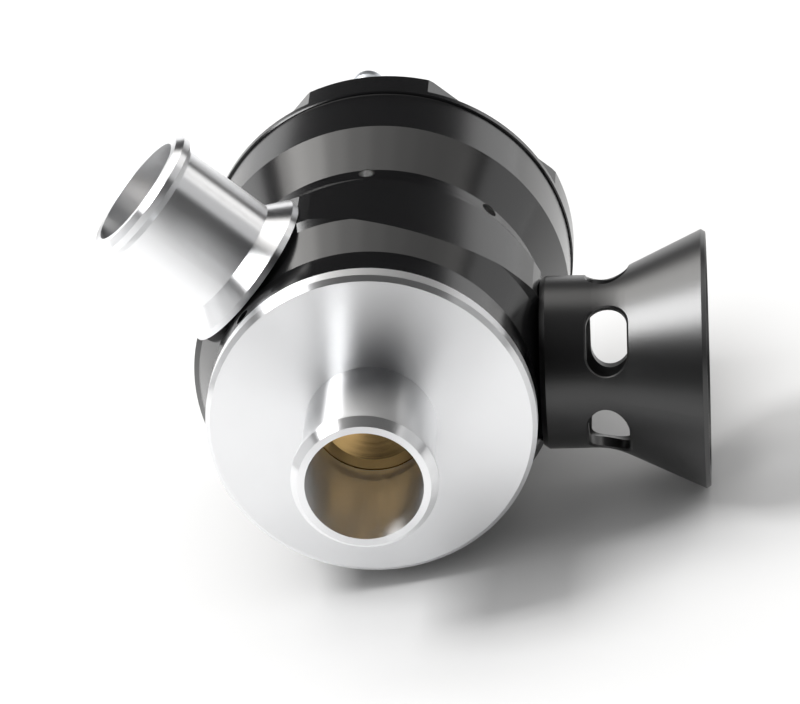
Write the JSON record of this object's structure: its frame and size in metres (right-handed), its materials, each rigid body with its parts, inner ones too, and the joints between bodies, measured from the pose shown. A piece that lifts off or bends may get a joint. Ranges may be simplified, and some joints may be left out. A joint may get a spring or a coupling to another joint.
{
  "type": "blow off valve",
  "caption": "Turned blow off valve with a beaded hose inlet, a slotted trumpet outlet, a return hose spigot and a head that turns to share the vented air.",
  "frame": {"origin": "centre of the inlet mouth, on the valve's axis", "axes": "+Z runs along the valve's axis from the inlet mouth to the cap, +X runs along the trumpet's axis towards its mouth"},
  "size_m": [0.1067, 0.0781, 0.11],
  "materials": {
    "bright_aluminium": "polished",
    "black_aluminium": "satin",
    "plain_aluminium": "satin",
    "brass": "satin",
    "steel": "satin",
    "spring_steel": "satin",
    "black_steel": "satin",
    "ring_rubber": "matte",
    "slippery_plastic": "matte"
  },
  "bodies": {
    "valve": {"inlet_base": "bright_aluminium", "base_o_ring": "ring_rubber", "seat_o_ring": "ring_rubber", "base_grub_screws": "black_steel", "valve_body": "black_aluminium", "trumpet": "black_aluminium", "trumpet_o_ring": "ring_rubber", "recirc_spigot": "bright_aluminium", "recirc_o_ring": "ring_rubber"},
    "head": {"head_housing": "black_aluminium", "bias_sleeve": "steel", "sleeve_screws": "black_steel", "sleeve_o_ring": "ring_rubber", "head_retaining_clip": "spring_steel", "top_cap": "black_aluminium", "cap_o_ring": "ring_rubber", "seat_guide_pins": "steel", "vacuum_nipple": "steel", "nipple_washer": "plain_aluminium", "main_spring": "spring_steel"},
    "piston_body": {"piston": "brass", "piston_ring": "slippery_plastic"},
    "adjuster": {"preload_screw": "steel", "preload_clip": "spring_steel", "preload_o_ring": "ring_rubber"},
    "seat": {"spring_seat": "plain_aluminium"}
  },
  "joints": [
    {"name": "bias_turn", "type": "hinge", "parent": "valve", "child": "head", "pos_m": [0, 0, 0.061], "axis": [0, 0, 1], "range_deg": [-27.7, 27.7]},
    {"name": "piston_lift", "type": "slide", "parent": "head", "child": "piston_body", "axis": [0, 0, 1], "range_m": [0, 0.018], "stiffness_N_per_m": 1500, "springref_m": -0.01, "deforming": ["main_spring"]},
    {"name": "preload_turn", "type": "hinge", "parent": "head", "child": "adjuster", "pos_m": [0, 0, 0.085], "axis": [0, 0, 1], "range_deg": [0, 1440]},
    {"name": "seat_slide", "type": "slide", "parent": "head", "child": "seat", "axis": [0, 0, -1], "range_m": [0, 0.005], "deforming": ["main_spring"]}
  ],
  "couplings": [
    {"joint": "preload_turn", "follows": "seat_slide", "rad_per_m": 5026.5}
  ]
}
